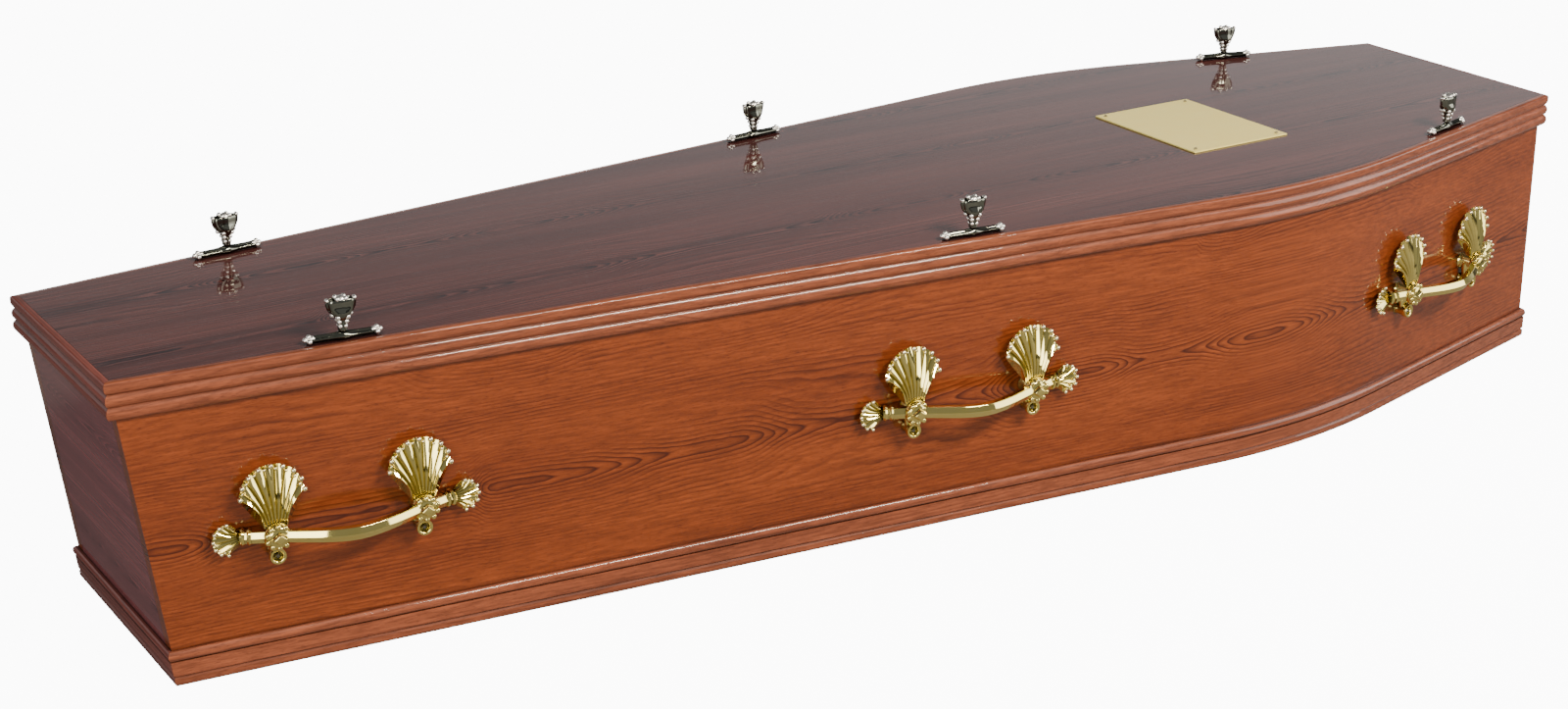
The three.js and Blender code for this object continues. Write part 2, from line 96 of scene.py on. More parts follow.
def together(forms):
    whole = bmesh.new()
    for form in forms:
        step = bpy.data.meshes.new("step")
        form.to_mesh(step)
        form.free()
        whole.from_mesh(step)
        bpy.data.meshes.remove(step)
    return whole


def piece(name, form, material):
    mesh = bpy.data.meshes.new(name)
    form.to_mesh(mesh)
    form.free()
    mesh.polygons.foreach_set("use_smooth", [True] * len(mesh.polygons))
    mesh.materials.append(material)
    made = bpy.data.objects.new(name, mesh)
    bpy.context.scene.collection.objects.link(made)
    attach(made, "root")
    return made


def sharpened(made, degrees):
    made.data.set_sharp_from_angle(angle=math.radians(degrees))


# %% [markdown]
# The veneer is cut from logs laid side by side, so its figure comes back across the board at a regular
# pitch. In each strip the growth rings run side by side, and near the heart they close into nested arches.
# A curve says how far each place is from the pith: where it climbs, the arches point towards the head.
# Fine fibres and pores come from stretched noise. Both groups take a grain vector: x along, y across.

# %% Node helpers
def joined(tree, kind, inputs=(), **settings):
    node = tree.nodes.new(kind)
    for key, value in settings.items():
        setattr(node, key, value)
    for key, value in dict(inputs).items():
        if isinstance(value, bpy.types.NodeSocket):
            tree.links.new(value, node.inputs[key])
        else:
            node.inputs[key].default_value = value
    return node


def math_node(tree, operation, a, b=0.0, c=0.0):
    node = joined(tree, "ShaderNodeMath", {0: a, 1: b, 2: c}, operation=operation)
    return node.outputs[0]


def new_group(name, inputs, outputs):
    group = bpy.data.node_groups.new(name, "ShaderNodeTree")
    for label, kind, value in inputs:
        socket = group.interface.new_socket(label, in_out="INPUT", socket_type=kind)
        if value is not None:
            socket.default_value = value
    for label, kind in outputs:
        group.interface.new_socket(label, in_out="OUTPUT", socket_type=kind)
    return group, group.nodes.new("NodeGroupInput"), group.nodes.new("NodeGroupOutput")


def ranged(tree, value, low, high, to_low=0.0, to_high=1.0, **settings):
    return joined(tree, "ShaderNodeMapRange", {0: value, 1: low, 2: high, 3: to_low, 4: to_high},
                  **settings).outputs[0]


def mixed(tree, share, first, second, **settings):
    first = (*first, 1) if isinstance(first, tuple) else first
    second = (*second, 1) if isinstance(second, tuple) else second
    return joined(tree, "ShaderNodeMix", {0: share, 6: first, 7: second}, data_type="RGBA",
                  **settings).outputs[2]


def stretched_noise(tree, vector, along, across, detail=2.0, rough=0.5):
    scaled = joined(tree, "ShaderNodeVectorMath", {0: vector, 1: (along, across, across)},
                    operation="MULTIPLY")
    noise = joined(tree, "ShaderNodeTexNoise", {"Vector": scaled.outputs[0], "Scale": 1.0,
                                                "Detail": detail, "Roughness": rough})
    return noise.outputs["Fac"]


# %% The figure and fibre groups
FLOAT, VECTOR = "NodeSocketFloat", "NodeSocketVector"
# Width of a strip of veneer, how far the arches climb at the most, and the roundness of their tips
STRIP, CLIMB, TIP = 0.166, 0.040, 0.0065
# The figure comes back after this length, and each strip is moved along by a share of its own
REPEAT, STRIP_SHIFT = 1.9, 0.67
# Share of the repeat, and how far the pith is there
PITH = [(0.022, 0.06), (0.055, 0.34), (0.15, 0.45), (0.188, 0.40), (0.204, 0.03), (0.31, 0.46), (0.345, 0.50),
        (0.418, 1.0), (0.50, 0.82), (0.568, 0.12), (0.61, 0.42), (0.635, 0.46), (0.70, 0.04), (0.80, 0.75)]

figure_group, figure_in, figure_out = new_group(
    "Mahogany figure",
    [("Grain", VECTOR, None), ("Heart", FLOAT, 0.151), ("Ring", FLOAT, 0.0036), ("Shift", FLOAT, 0.0)],
    [("Line", FLOAT), ("Tone", FLOAT)],
)
tree = figure_group
grain = figure_in.outputs["Grain"]
split = joined(tree, "ShaderNodeSeparateXYZ", {0: grain})
drift = math_node(tree, "MULTIPLY_ADD", stretched_noise(tree, grain, 1.3, 1.5, 1.0), 0.036, -0.018)
from_heart = math_node(tree, "SUBTRACT", split.outputs[1], figure_in.outputs["Heart"])
from_heart = math_node(tree, "ADD", from_heart, drift)
strip_number = math_node(tree, "ROUND", math_node(tree, "DIVIDE", from_heart, STRIP))
within = math_node(tree, "MULTIPLY_ADD", strip_number, -STRIP, from_heart)
# Each strip starts its arches somewhere else along the board
along = math_node(tree, "MULTIPLY_ADD", strip_number, STRIP_SHIFT, split.outputs[0])
along = math_node(tree, "ADD", along, figure_in.outputs["Shift"])
from_start = math_node(tree, "ADD", along, REPEAT / 2)
run_share = math_node(tree, "FRACT", math_node(tree, "DIVIDE", from_start, REPEAT))
pith_curve = joined(tree, "ShaderNodeFloatCurve", {1: run_share})
curve = pith_curve.mapping.curves[0]
curve.points[0].location = (0.0, 0.5)
curve.points[1].location = (1.0, 0.5)
for spot in PITH:
    curve.points.new(*spot)
pith_curve.mapping.update()
edge_share = math_node(tree, "DIVIDE", within, STRIP / 2)
near = math_node(tree, "SUBTRACT", 1.0, math_node(tree, "MULTIPLY", edge_share, edge_share))
near = math_node(tree, "MULTIPLY", near, near)
rounded_height = math_node(tree, "SQRT", math_node(tree, "MULTIPLY_ADD", within, within, TIP ** 2))
lift = math_node(tree, "MULTIPLY", math_node(tree, "MULTIPLY", pith_curve.outputs[0], CLIMB), near)
wander = math_node(tree, "MULTIPLY_ADD", stretched_noise(tree, grain, 3.0, 16.0, 1.0), 0.010, -0.005)
ripple = math_node(tree, "MULTIPLY_ADD", stretched_noise(tree, grain, 32.0, 70.0, 1.0), 0.0026, -0.0013)
lifted, uneven = math_node(tree, "ADD", rounded_height, lift), math_node(tree, "ADD", wander, ripple)
reach = math_node(tree, "ADD", lifted, uneven)
ring_phase = math_node(tree, "FRACT", math_node(tree, "DIVIDE", reach, figure_in.outputs["Ring"]))
late_wood = math_node(tree, "POWER", ring_phase, 2.2)
ring_end = ranged(tree, ring_phase, 0.86, 1.0, 1.0, 0.0)
patchy = ranged(tree, stretched_noise(tree, grain, 3.0, 34.0, 2.0), 0.36, 0.66, 0.10, 0.8)
# Near the heart the lines of the arches are clear, away from it they come and go
arched = ranged(tree, rounded_height, 0.010, 0.030, 1.15, 0.0)
strength = math_node(tree, "MAXIMUM", patchy, arched)
line = math_node(tree, "MULTIPLY", math_node(tree, "MULTIPLY", late_wood, ring_end), strength)
tree.links.new(line, figure_out.inputs["Line"])
tree.links.new(stretched_noise(tree, grain, 1.1, 13.0, 3.0), figure_out.inputs["Tone"])

fibre_group, fibre_in, fibre_out = new_group(
    "Mahogany fibre", [("Grain", VECTOR, None)], [("Fibre", FLOAT), ("Pore", FLOAT)])
tree = fibre_group
grain = fibre_in.outputs["Grain"]
fibre = stretched_noise(tree, grain, 1.8, 300.0, 4.0, 0.66)
pore_noise = stretched_noise(tree, grain, 34.0, 1300.0, 1.0)
pore = ranged(tree, pore_noise, 0.6, 0.72)
tree.links.new(fibre, fibre_out.inputs["Fibre"])
tree.links.new(pore, fibre_out.inputs["Pore"])
print("wood effects:", figure_group.name, "and", fibre_group.name)

# %% [markdown]
# A lacquered wood material reads the two groups and covers them with a clear glossy coat.
# The coat is smooth enough to mirror the fittings. It sinks a little into the pores and is faintly uneven.
# The wood under it can have a weak wide sheen of its own.

# %% Lacquered wood
PORE_STAIN = 0.5
PORE_SINK, LINE_SINK, PEEL_RISE = -0.6, -0.4, 0.8
PEEL_SCALE, PEEL_DEPTH = 160.0, 0.00002
# Reach and colour of the painted shade in the wood's corners
CORNER_SHADE_REACH, CORNER_SHADE_COLOUR = 0.005, (0.012, 0.003, 0.002)


def lacquered(name, axes, pale, deep, line_colour, heart=0.151, shift=0.0, ring=0.0036, contrast=1.0,
              streaks=0.26, painted_corner_shade=0.9, gloss=0.03, coat=1.0, lacquer_index=1.38, sheen=0.0):
    material = bpy.data.materials.new(name)
    material.use_nodes = True
    tree = material.node_tree
    shader = tree.nodes["Principled BSDF"]
    place = joined(tree, "ShaderNodeTexCoord").outputs["Object"]
    split = joined(tree, "ShaderNodeSeparateXYZ", {0: place})
    order = {index: split.outputs["XYZ".index(axis)] for index, axis in enumerate(axes)}
    grain = joined(tree, "ShaderNodeCombineXYZ", order).outputs[0]
    figure = joined(tree, "ShaderNodeGroup", node_tree=figure_group)
    tree.links.new(grain, figure.inputs["Grain"])
    figure.inputs["Heart"].default_value = heart
    figure.inputs["Ring"].default_value = ring
    figure.inputs["Shift"].default_value = shift
    fibre = joined(tree, "ShaderNodeGroup", node_tree=fibre_group)
    tree.links.new(grain, fibre.inputs["Grain"])
    ground = mixed(tree, ranged(tree, figure.outputs["Tone"], 0.3, 0.7), deep, pale)
    streak = ranged(tree, fibre.outputs["Fibre"], 0.32, 0.68, 1 - streaks, 1 + streaks)
    streaked = joined(tree, "ShaderNodeVectorMath", {0: ground, "Scale": streak}, operation="SCALE")
    line_share = math_node(tree, "MULTIPLY", figure.outputs["Line"], contrast)
    lined = mixed(tree, line_share, streaked.outputs[0], line_colour, clamp_factor=True)
    pore_share = math_node(tree, "MULTIPLY", fibre.outputs["Pore"], PORE_STAIN)
    pored = mixed(tree, pore_share, lined, line_colour)
    # Painted shade: the wood is darkened in the corners under a moulding and between two reeds, where little
    # light reaches
    hollow = joined(tree, "ShaderNodeAmbientOcclusion", {"Distance": CORNER_SHADE_REACH}, samples=4)
    corner_shade_share = ranged(tree, hollow.outputs["AO"], 0.45, 0.9, painted_corner_shade, 0.0)
    corner_shaded = mixed(tree, corner_shade_share, pored, CORNER_SHADE_COLOUR)
    tree.links.new(corner_shaded, shader.inputs["Base Color"])
    line_sink = math_node(tree, "MULTIPLY", figure.outputs["Line"], LINE_SINK)
    sunk = math_node(tree, "MULTIPLY_ADD", fibre.outputs["Pore"], PORE_SINK, line_sink)
    peel = stretched_noise(tree, place, PEEL_SCALE, PEEL_SCALE, 1.0)
    relief = math_node(tree, "MULTIPLY_ADD", peel, PEEL_RISE, sunk)
    bump = joined(tree, "ShaderNodeBump", {"Height": relief, "Distance": PEEL_DEPTH, "Strength": 1.0})
    tree.links.new(bump.outputs[0], shader.inputs["Coat Normal"])
    shader.inputs["Roughness"].default_value = 0.42
    shader.inputs["Specular IOR Level"].default_value = sheen
    shader.inputs["Coat Weight"].default_value = coat
    shader.inputs["Coat Roughness"].default_value = gloss
    shader.inputs["Coat IOR"].default_value = lacquer_index
    return material


side_wood = lacquered(
    "side_mahogany", "XZY", pale=(0.250, 0.054, 0.012), deep=(0.178, 0.036, 0.008),
    line_colour=(0.040, 0.006, 0.002), contrast=1.15, streaks=0.30, lacquer_index=1.47, sheen=0.12)
# The end boards' mauve-grey colour is a painted haze of reflection on the mahogany, for ends that get less
# light
hazy_end_wood = lacquered(
    "end_mahogany_hazy", "YZX", pale=(0.27, 0.092, 0.096), deep=(0.21, 0.068, 0.073),
    line_colour=(0.06, 0.017, 0.021), heart=0.08, shift=0.9, contrast=0.9)
# The lid's colour is darker and duller than the sides': painted shade for the lid's weaker light
shaded_lid_wood = lacquered(
    "lid_mahogany_shaded", "XYZ", pale=(0.120, 0.041, 0.036), deep=(0.085, 0.029, 0.027),
    line_colour=(0.014, 0.005, 0.007), heart=-0.10, shift=0.12, ring=0.0040, contrast=1.5, streaks=0.34)
moulding_figure = dict(heart=0.6, shift=0.3, ring=0.0042, contrast=0.9, painted_corner_shade=0.8)
run_wood = lacquered(
    "moulding_mahogany", "XZY", pale=(0.30, 0.083, 0.035), deep=(0.19, 0.051, 0.022),
    line_colour=(0.045, 0.011, 0.007), streaks=0.36, lacquer_index=1.42, sheen=0.16, **moulding_figure)
# The end mouldings are darker than the side runs: painted shade
shaded_cross_wood = lacquered(
    "end_moulding_mahogany_shaded", "YZX", pale=(0.24, 0.072, 0.056), deep=(0.16, 0.048, 0.038),
    line_colour=(0.045, 0.012, 0.010), streaks=0.34, coat=0.7, lacquer_index=1.34, **moulding_figure)
plain_wood = lacquered(
    "inner_board", "XYZ", pale=(0.46, 0.30, 0.17), deep=(0.38, 0.24, 0.13), line_colour=(0.24, 0.13, 0.07),
    heart=0.05, shift=0.4, ring=0.005, contrast=0.6, streaks=0.3, painted_corner_shade=0.0, gloss=0.4, coat=0.0)
print("woods:", [m.name for m in bpy.data.materials if "mahogany" in m.name or "board" in m.name])

# %% [markdown]
# The plan of the side is a straight run, a wide bend at the shoulder and another straight run.
# The same plan carries the side boards and every moulding, so that they stay parallel.
# A glossy bend shows its facets in its reflections, so here it has many more steps than the solid.

# %% Plan of the side
LENGTH, FOOT_WIDTH, SHOULDER_WIDTH, HEAD_WIDTH = 1.880, 0.282, 0.570, 0.317
SHOULDER_FROM_HEAD, BEND_RADIUS, BEND_STEPS = 0.482, 0.770, 36
DEPTH, BOARD, GAP = 0.311, 0.016, 0.0003
LEAN = math.tan(math.radians(6.9))
LID_TOP = DEPTH + GAP + 0.018

foot_corner = Vector((-LENGTH / 2, FOOT_WIDTH / 2))
shoulder_corner = Vector((LENGTH / 2 - SHOULDER_FROM_HEAD, SHOULDER_WIDTH / 2))
head_corner = Vector((LENGTH / 2, HEAD_WIDTH / 2))
foot_along = (shoulder_corner - foot_corner).normalized()
head_along = (head_corner - shoulder_corner).normalized()
foot_out = Vector((-foot_along.y, foot_along.x))
head_out = Vector((-head_along.y, head_along.x))
bend_start = math.atan2(foot_out.y, foot_out.x)
bend_turn = math.atan2(head_out.y, head_out.x) - bend_start
bend_centre = shoulder_corner - (foot_out + head_out).normalized() * BEND_RADIUS / math.cos(bend_turn / 2)
STATIONS = BEND_STEPS + 2


def foot_face(height):
    return -LENGTH / 2 + (DEPTH - height) * LEAN


def width_at(corner, along, out, outward, x):
    start = corner + out * outward
    return start.y + (x - start.x) * along.y / along.x


def side_point(station, outward, foot_x, head_x):
    if station == 0:
        return Vector((foot_x, width_at(foot_corner, foot_along, foot_out, outward, foot_x)))
    if station == STATIONS:
        return Vector((head_x, width_at(shoulder_corner, head_along, head_out, outward, head_x)))
    angle = bend_start + bend_turn * (station - 1) / BEND_STEPS
    return bend_centre + Vector((math.cos(angle), math.sin(angle))) * (BEND_RADIUS + outward)


def along_side(section, side, foot_end, head_end):
    def place(u, v):
        outward, height = section[round(v * len(section)) % len(section)]
        spot = side_point(round(u * STATIONS), outward, foot_end(outward, height), head_end(outward))
        return Vector((spot.x, side * spot.y, height))
    return lattice(STATIONS, len(section), place)


def across_end(section, corner, along, out, end_x, columns=4):
    def place(u, v):
        outward, height = section[round(v * len(section)) % len(section)]
        x = end_x(outward, height)
        half = width_at(corner, along, out, outward, x) - GAP * math.sqrt(2) / along.x
        return Vector((x, (2 * u - 1) * half, height))
    return lattice(columns, len(section), place)


print("the shoulder turns by", round(math.degrees(-bend_turn), 1), "degrees")

# %% [markdown]
# The side boards could be steamed or kerfed round the shoulder. Here they are a rectangle run along the plan.
# Their edges stay square, because the mouldings cover them.

# %% Side boards
SIDES = (("left", -1), ("right", 1))
SHARP_BOARD = 30

board_section = [(-BOARD, 0), (0, 0), (0, DEPTH), (-BOARD, DEPTH)]
for word, side in SIDES:
    form = along_side(board_section, side, lambda outward, height: foot_face(height),
                      lambda outward: LENGTH / 2)
    board = piece(f"side_board_{word}_fine", form, side_wood)
    sharpened(board, SHARP_BOARD)
    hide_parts(f"side_board_{word}")
print("side boards:", len(SIDES), "of", BOARD, "m by", DEPTH, "m")

# %% [markdown]
# The lid's moulding has three equal round reeds. The base moulding has a bead, a flat band and a lower band,
# with a V groove between the two bands and a step under the bead. Both could be run on a spindle moulder and
# mitred at the corners.

# %% Moulding sections
REED_POINTS, ROUND_STEPS = 14, 8
LID_REEDS, LID_REED_DEPTH, LID_TOP_ROUND = 3, 0.003, 0.003
LID_MOULDING_HEIGHT, LID_PROJECTION = 0.039, 0.008
BASE_HEIGHT, BASE_PROJECTION, BASE_BEAD, BASE_BAND = 0.038, 0.006, 0.011, 0.017
BASE_RECESS, GROOVE_DEPTH, EDGE_ROUND, EDGE_STEPS = 0.0012, 0.0018, 0.003, 6


def arc_swell(share, height, depth):
    radius = (height * height / 4 + depth * depth) / (2 * depth)
    return math.sqrt(radius * radius - ((share - 0.5) * height) ** 2) - radius + depth


def reed_points(waist, bottom, height, depth, last_step=REED_POINTS):
    shares = [step / REED_POINTS for step in range(1, last_step + 1)]
    return [(waist + arc_swell(share, height, depth), bottom + height * share) for share in shares]


def quarter_turn(steps):
    return [math.pi / 2 * step / steps for step in range(steps + 1)]


def lid_section():
    bottom, pitch = LID_TOP - LID_MOULDING_HEIGHT, LID_MOULDING_HEIGHT / LID_REEDS
    waist = LID_PROJECTION - LID_REED_DEPTH
    points = [(GAP, bottom), (waist, bottom)]
    for reed in range(LID_REEDS):
        # The top reed stops halfway and goes over into the rounded edge
        last_step = REED_POINTS // 2 if reed == LID_REEDS - 1 else REED_POINTS
        points += reed_points(waist, bottom + pitch * reed, pitch, LID_REED_DEPTH, last_step)
    points += [(LID_PROJECTION - LID_TOP_ROUND * (1 - math.cos(angle)),
                LID_TOP - LID_TOP_ROUND * (1 - math.sin(angle))) for angle in quarter_turn(ROUND_STEPS)]
    return points + [(GAP, LID_TOP)]


def base_section():
    band, groove = BASE_PROJECTION - BASE_RECESS, BASE_PROJECTION - BASE_RECESS - GROOVE_DEPTH
    bead_bottom = BASE_HEIGHT - BASE_BEAD
    band_bottom = bead_bottom - BASE_BAND
    waist = BASE_PROJECTION - BASE_BEAD / 4
    points = [(GAP, 0)]
    points += [(band - EDGE_ROUND * (1 - math.sin(angle)),
                EDGE_ROUND * (1 - math.cos(angle))) for angle in quarter_turn(EDGE_STEPS)]
    points += [(band, band_bottom - GROOVE_DEPTH), (groove, band_bottom), (band, band_bottom + GROOVE_DEPTH),
               (band, bead_bottom), (groove, bead_bottom)]
    points += reed_points(waist, bead_bottom, BASE_BEAD, BASE_PROJECTION - waist)
    return points + [(GAP, BASE_HEIGHT)]


print("points in a section: lid moulding", len(lid_section()), "and base moulding", len(base_section()))

# %% Mouldings
SHARP_MOULDING = 32


def head_face(outward, height=0):
    return LENGTH / 2 + outward


def add_mouldings(prefix, section, foot_end):
    forms = {word: along_side(section, side, foot_end, head_face) for word, side in SIDES}
    forms["foot"] = across_end(section, foot_corner, foot_along, foot_out, foot_end)
    forms["head"] = across_end(section, shoulder_corner, head_along, head_out, head_face)
    for word, form in forms.items():
        wood = run_wood if word in ("left", "right") else shaded_cross_wood
        made = piece(f"{prefix}_moulding_{word}_fine", form, wood)
        sharpened(made, SHARP_MOULDING)
        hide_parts(f"{prefix}_moulding_{word}")


add_mouldings("lid", lid_section(), lambda outward, height: -LENGTH / 2 - outward)
add_mouldings("base", base_section(), lambda outward, height: foot_face(height) - outward)

# %% [markdown]
# The boards that stay as they are take their finish through their material slots.

# %% Finish of the flat boards
def finish(node, material):
    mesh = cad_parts[node].data
    mesh.materials.clear()
    mesh.materials.append(material)


FLAT_BOARDS = {"lid_board": shaded_lid_wood, "foot_end_board": hazy_end_wood, "head_end_board": hazy_end_wood,
               "base_board": plain_wood}
for node, wood in FLAT_BOARDS.items():
    finish(node, wood)
print("flat boards:", list(FLAT_BOARDS))

# %% [markdown]
# The fittings are plated castings. A node group gives the small wear of polished plate: a cloudy change in
# roughness and fine hairlines. The brass has a warm body colour. The nickel is dark, a painted dark
# reflection, and the pale colour of the beads is a painted highlight. Painted shade darkens the creases of
# both metals. The nameplate is a lacquered satin yellow.

# %% Metals
wear_group, wear_in, wear_out = new_group(
    "Plate wear", [("Place", VECTOR, None), ("Low", FLOAT, 0.06), ("High", FLOAT, 0.16)],
    [("Roughness", FLOAT), ("Height", FLOAT), ("Tarnish", FLOAT)])
cloud = stretched_noise(wear_group, wear_in.outputs["Place"], 55.0, 55.0, 3.0)
spread = ranged(wear_group, cloud, 0.3, 0.7, wear_in.outputs["Low"], wear_in.outputs["High"])
wear_group.links.new(spread, wear_out.inputs["Roughness"])
hairlines = stretched_noise(wear_group, wear_in.outputs["Place"], 420.0, 900.0, 2.0)
wear_group.links.new(hairlines, wear_out.inputs["Height"])
wear_group.links.new(cloud, wear_out.inputs["Tarnish"])


# Reach and strength of the painted shade in the metals' creases and hollows
CREASE_SHADE_REACH, CREASE_SHADE_FACTOR = 0.006, 0.3


def metal(name, colour, tarnished, low, high, relief=0.000004, painted_crease_shade=0.0, metallic=1.0,
          painted_bead_highlight=None, bead_roughness=0.32):
    material = bpy.data.materials.new(name)
    material.use_nodes = True
    tree = material.node_tree
    shader = tree.nodes["Principled BSDF"]
    place = joined(tree, "ShaderNodeTexCoord").outputs["Object"]
    wear = joined(tree, "ShaderNodeGroup", node_tree=wear_group)
    tree.links.new(place, wear.inputs["Place"])
    wear.inputs["Low"].default_value = low
    wear.inputs["High"].default_value = high
    tinted = mixed(tree, wear.outputs["Tarnish"], colour, tarnished)
    # Painted shade: the metal is darkened in its creases and hollows
    if painted_crease_shade:
        hollow = joined(tree, "ShaderNodeAmbientOcclusion", {"Distance": CREASE_SHADE_REACH}, samples=8)
        crease_shade = ranged(tree, hollow.outputs["AO"], 0.35, 0.9, painted_crease_shade, 0.0)
        tinted = mixed(tree, crease_shade, tinted, tuple(c * CREASE_SHADE_FACTOR for c in tarnished))
    roughness = wear.outputs["Roughness"]
    if painted_bead_highlight:
        # The small beads are satin from the barrel and the body round them is polished. Their paler colour is
        # a painted highlight.
        on_bead = joined(tree, "ShaderNodeAttribute", attribute_name="bead").outputs["Fac"]
        tinted = mixed(tree, on_bead, tinted, painted_bead_highlight)
        roughness = joined(tree, "ShaderNodeMix", {0: on_bead, 2: roughness, 3: bead_roughness}).outputs[0]
    tree.links.new(tinted, shader.inputs["Base Color"])
    tree.links.new(roughness, shader.inputs["Roughness"])
    bump = joined(tree, "ShaderNodeBump", {"Height": wear.outputs["Height"], "Distance": relief})
    tree.links.new(bump.outputs[0], shader.inputs["Normal"])
    shader.inputs["Metallic"].default_value = metallic
    return material


brass = metal("handle_brass", (0.97, 0.83, 0.30), (0.86, 0.70, 0.20), 0.03, 0.08, painted_crease_shade=0.8,
              painted_bead_highlight=(1.0, 0.90, 0.55), bead_roughness=0.2)
# The nickel's body colour is kept dark as a painted dark reflection
nickel = metal("lid_screw_nickel", (0.22, 0.22, 0.18), (0.14, 0.15, 0.12), 0.03, 0.08, painted_crease_shade=0.9,
               painted_bead_highlight=(1.0, 0.97, 0.90))
steel = metal("screw_steel", (0.30, 0.28, 0.22), (0.22, 0.2, 0.15), 0.15, 0.3)
plate_metal = metal("plate_satin_brass", (1.0, 0.86, 0.27), (1.0, 0.82, 0.23), 0.30, 0.36, 0.000006,
                    metallic=0.0)
pin_metal = metal("pin_brass", (0.7, 0.58, 0.28), (0.55, 0.45, 0.2), 0.15, 0.25)
print("metals:", [m.name for m in (brass, nickel, steel, plate_metal, pin_metal)])

# %% [markdown]
# A handle is one casting. Here it is built from its parts, in a frame of its own: x runs along the side, z is
# up, and the wall is at y = 0 with the room at -y. A shell is a ribbed sheet with a scalloped rim. Its ribs
# have nearly straight flanks. A bead sits on the end of each rib, with a smaller one between two ribs.

# %% Shells
LARGE_SHELL = dict(ribs=9, rows=14, width=0.066, top=0.073, widest=0.041, neck_width=0.024, neck_y=0.009,
                   flare=0.023, spread_degrees=100, neck_out=0.019, rim_out=0.011, rib_depth=0.0036,
                   thickness=0.0022, hollow=-0.0035, rim_bead=0.0029)
SMALL_SHELL = dict(ribs=7, rows=8, width=0.033, top=0.0305, widest=0.0155, neck_width=0.009, neck_y=-0.0036,
                   flare=0.01525, spread_degrees=105, neck_out=0.008, rim_out=0.008, rib_depth=0.0022,
                   thickness=0.004, hollow=-0.001, rim_bead=0.0023)


def shell_form(ribs, rows, width, top, widest, neck_width, neck_y, flare, spread_degrees, neck_out, rim_out,
               rib_depth, thickness, hollow, rim_bead):
    spread = math.radians(spread_degrees)
    columns = ribs * 8

    def surface(across, t):
        wave = abs(math.sin(math.pi * (across + 1) / 2 * ribs))
        flank = 1 - abs(2 * ((across + 1) / 2 * ribs % 1) - 1)
        lobe = 1 + rib_depth * (wave ** 0.7 - 1) / width
        neck = Vector((across * neck_width / 2, neck_y))
        bend = Vector((across * neck_width * 0.6, neck_y + flare))
        rim = Vector((lobe * math.sin(across * spread) * width / 2,
                      widest + lobe * math.cos(across * spread) * (top - widest)))
        spot = neck * (1 - t) ** 2 + bend * (2 * t * (1 - t)) + rim * t * t
        ripple = rib_depth * (0.75 * flank + 0.25 * wave - 0.5) * (0.25 + 0.75 * t)
        out = neck_out + (rim_out - neck_out) * t + ripple - hollow * 4 * t * (1 - t)
        return Vector((spot.x, -out, spot.y))

    def place(u, v):
        fold = v * 2
        t = fold if fold <= 1 else 2 - fold
        spot = surface(2 * u - 1, t)
        if fold > 1:
            middle = math.sin(math.pi * min(1.0, (1 - t) * 6) / 2)
            spot.y += thickness * middle
        return spot

    forms = [lattice(columns, rows * 2, place)]
    for index in range(ribs * 2 - 1):
        across = -1 + (index + 1) / ribs
        on_rib = index % 2 == 0
        spot = surface(across, 0.98 if on_rib else 0.95)
        radius = rim_bead if on_rib else rim_bead * 0.6
        spot.y -= radius * 0.25
        forms.append(bead(spot, radius))
    return together(forms)


print("ribs on the shells:", [shell["ribs"] for shell in (LARGE_SHELL, SMALL_SHELL)])

# %% [markdown]
# The grip is a faceted bar that bows out between the two bosses. Its corners are eased, so each facet keeps
# its own reflection. It is drawn as one lattice around the centre line.

# %% The bar
HALF_BOSS, HALF_COLLAR = 0.151 / 2, 0.214 / 2
BAR_RADIUS, BAR_SIDES, BAR_STEPS, BAR_SWELL = 0.0145 / 2, 6, 56, 0.10
# Shares of a side of the bar at which its eased corners start and end
FACET = [0.06, 0.12, 0.88, 0.94]
# How far the bar's centre stands out from the board at the collars, the bosses and the middle
COLLAR_OUT, BOSS_OUT, MIDDLE_OUT, MIDDLE_DROP = 0.008, 0.020, 0.042, 0.0025


def bar_centre(share):
    knots = [Vector((-HALF_COLLAR, -COLLAR_OUT, 0)), Vector((-HALF_BOSS, -BOSS_OUT, 0)),
             Vector((0, -MIDDLE_OUT, -MIDDLE_DROP)),
             Vector((HALF_BOSS, -BOSS_OUT, 0)), Vector((HALF_COLLAR, -COLLAR_OUT, 0))]
    ghosts = [knots[0] * 2 - knots[1], *knots, knots[-1] * 2 - knots[-2]]
    spans = len(knots) - 1
    span = min(int(share * spans), spans - 1)
    t = share * spans - span
    before, start, end, after = ghosts[span:span + 4]

    def knot_gap(a, b):
        return (a - b).length ** 0.5
    d0, d1, d2 = knot_gap(before, start), knot_gap(start, end), knot_gap(end, after)
    leave = ((start - before) / d0 - (end - before) / (d0 + d1) + (end - start) / d1) * d1
    arrive = ((end - start) / d1 - (after - start) / (d1 + d2) + (after - end) / d2) * d1
    return (start * (2 * t ** 3 - 3 * t ** 2 + 1) + leave * (t ** 3 - 2 * t ** 2 + t)
            + end * (-2 * t ** 3 + 3 * t ** 2) + arrive * (t ** 3 - t ** 2))


def bar_form():
    around_steps = BAR_SIDES * len(FACET)

    def place(u, v):
        corner, within = divmod(round(v * around_steps) % around_steps, len(FACET))
        angles = [math.tau * (corner + k) / BAR_SIDES for k in (0, 1)]
        a, b = (Vector((math.cos(angle), math.sin(angle))) for angle in angles)
        around = a.lerp(b, FACET[within]) * BAR_RADIUS
        centre = bar_centre(u)
        ahead = (bar_centre(min(u + 0.01, 1)) - bar_centre(max(u - 0.01, 0))).normalized()
        out = Vector((0, 0, 1)).cross(ahead).normalized()
        up = ahead.cross(out)
        swell = 1 + BAR_SWELL * math.exp(-((u - 0.5) / 0.13) ** 2)
        return centre + out * around.x + up * around.y * swell
    return lattice(BAR_STEPS, around_steps, place)


